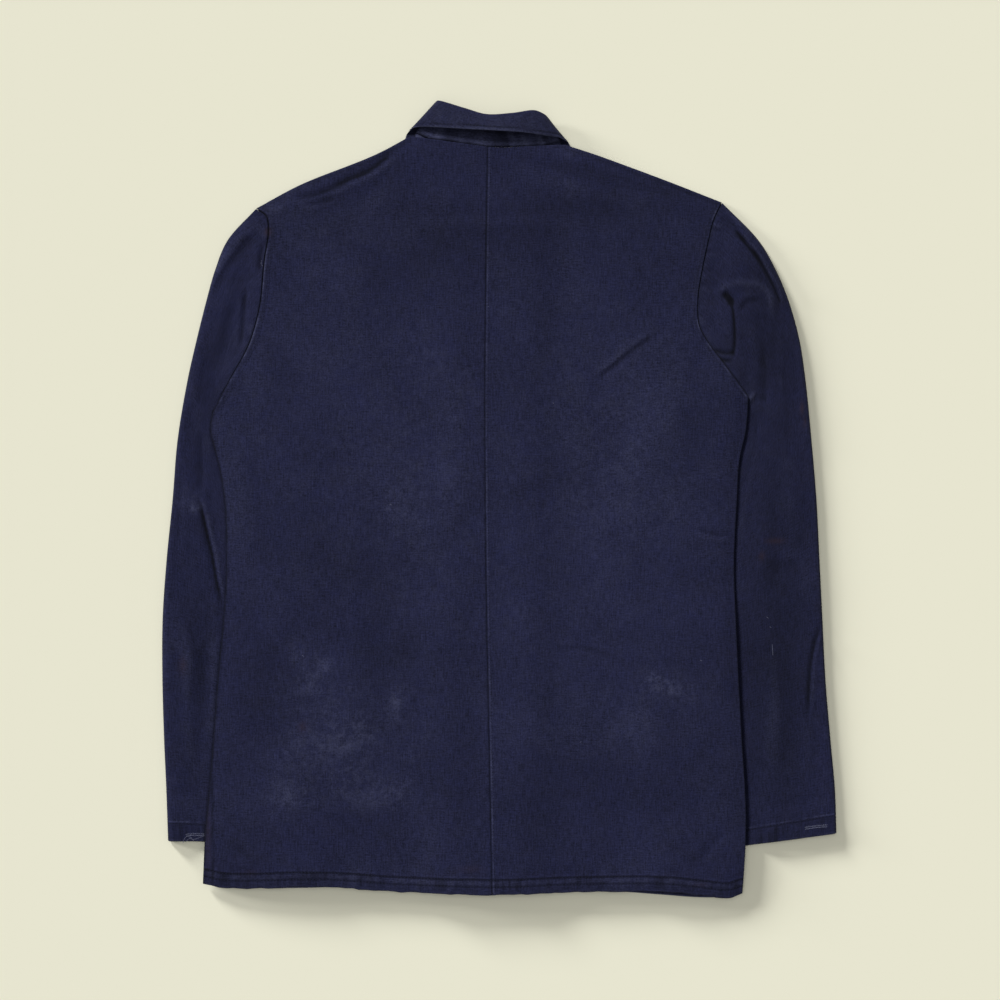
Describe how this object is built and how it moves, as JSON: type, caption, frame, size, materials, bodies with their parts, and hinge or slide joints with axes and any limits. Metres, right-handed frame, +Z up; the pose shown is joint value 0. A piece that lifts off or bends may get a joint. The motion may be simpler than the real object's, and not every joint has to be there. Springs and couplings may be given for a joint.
{
  "type": "chore jacket",
  "caption": "Plain cotton work jacket with a folded collar and long sleeves, buttoned up and laid face down, its back showing.",
  "frame": {"origin": "on the surface the jacket lies on, under the middle of its bounding box", "axes": "+Z up from the surface, out of the jacket's back; +Y from the hem to the collar; +X to the right of the jacket as it lies face down"},
  "size_m": [0.6754, 0.7957, 0.0215],
  "materials": {
    "cloth": "navy cotton twill, washed and worn",
    "buttons": "dark four-hole buttons, satin"
  },
  "bodies": {
    "root": {"back_left": "cloth", "back_right": "cloth", "front_left": "cloth", "front_right": "cloth", "hip_pocket_left": "cloth", "hip_pocket_right": "cloth", "sleeve_left": "cloth", "sleeve_right": "cloth", "collar": "cloth", "button_1": "buttons", "button_2": "buttons", "button_3": "buttons", "button_4": "buttons", "button_5": "buttons"}
  },
  "joints": []
}
